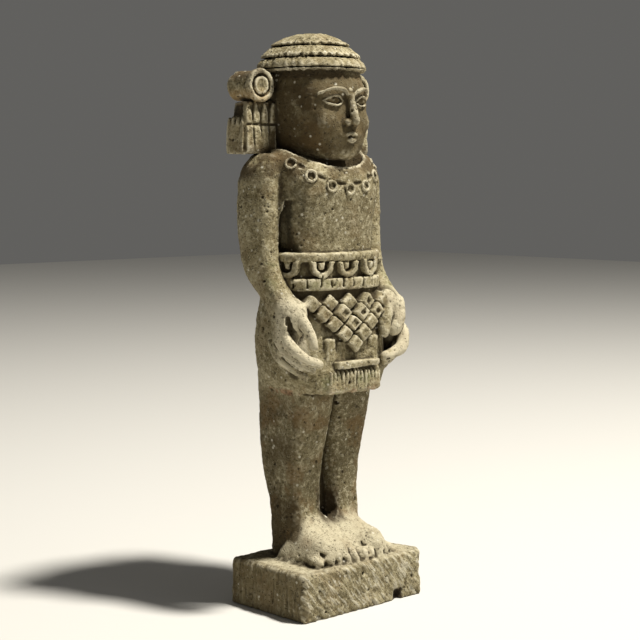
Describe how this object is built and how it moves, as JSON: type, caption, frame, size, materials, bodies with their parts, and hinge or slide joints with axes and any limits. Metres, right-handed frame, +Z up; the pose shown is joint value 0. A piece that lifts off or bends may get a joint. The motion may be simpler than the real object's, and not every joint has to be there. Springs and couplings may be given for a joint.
{
  "type": "carved stone figure",
  "caption": "Standing man carved from porous grey-beige volcanic stone on its own rectangular plinth, with cap, ear spools, belt and fringed apron.",
  "frame": {"origin": "middle of the plinth's underside", "axes": "+Z up; the figure faces -Y; +X towards the figure's left hand"},
  "size_m": [0.186, 0.1295, 0.62],
  "materials": {
    "volcanic_stone": "rough, pitted, weathered"
  },
  "bodies": {
    "root": {"stone_figure": "volcanic_stone"}
  },
  "joints": []
}
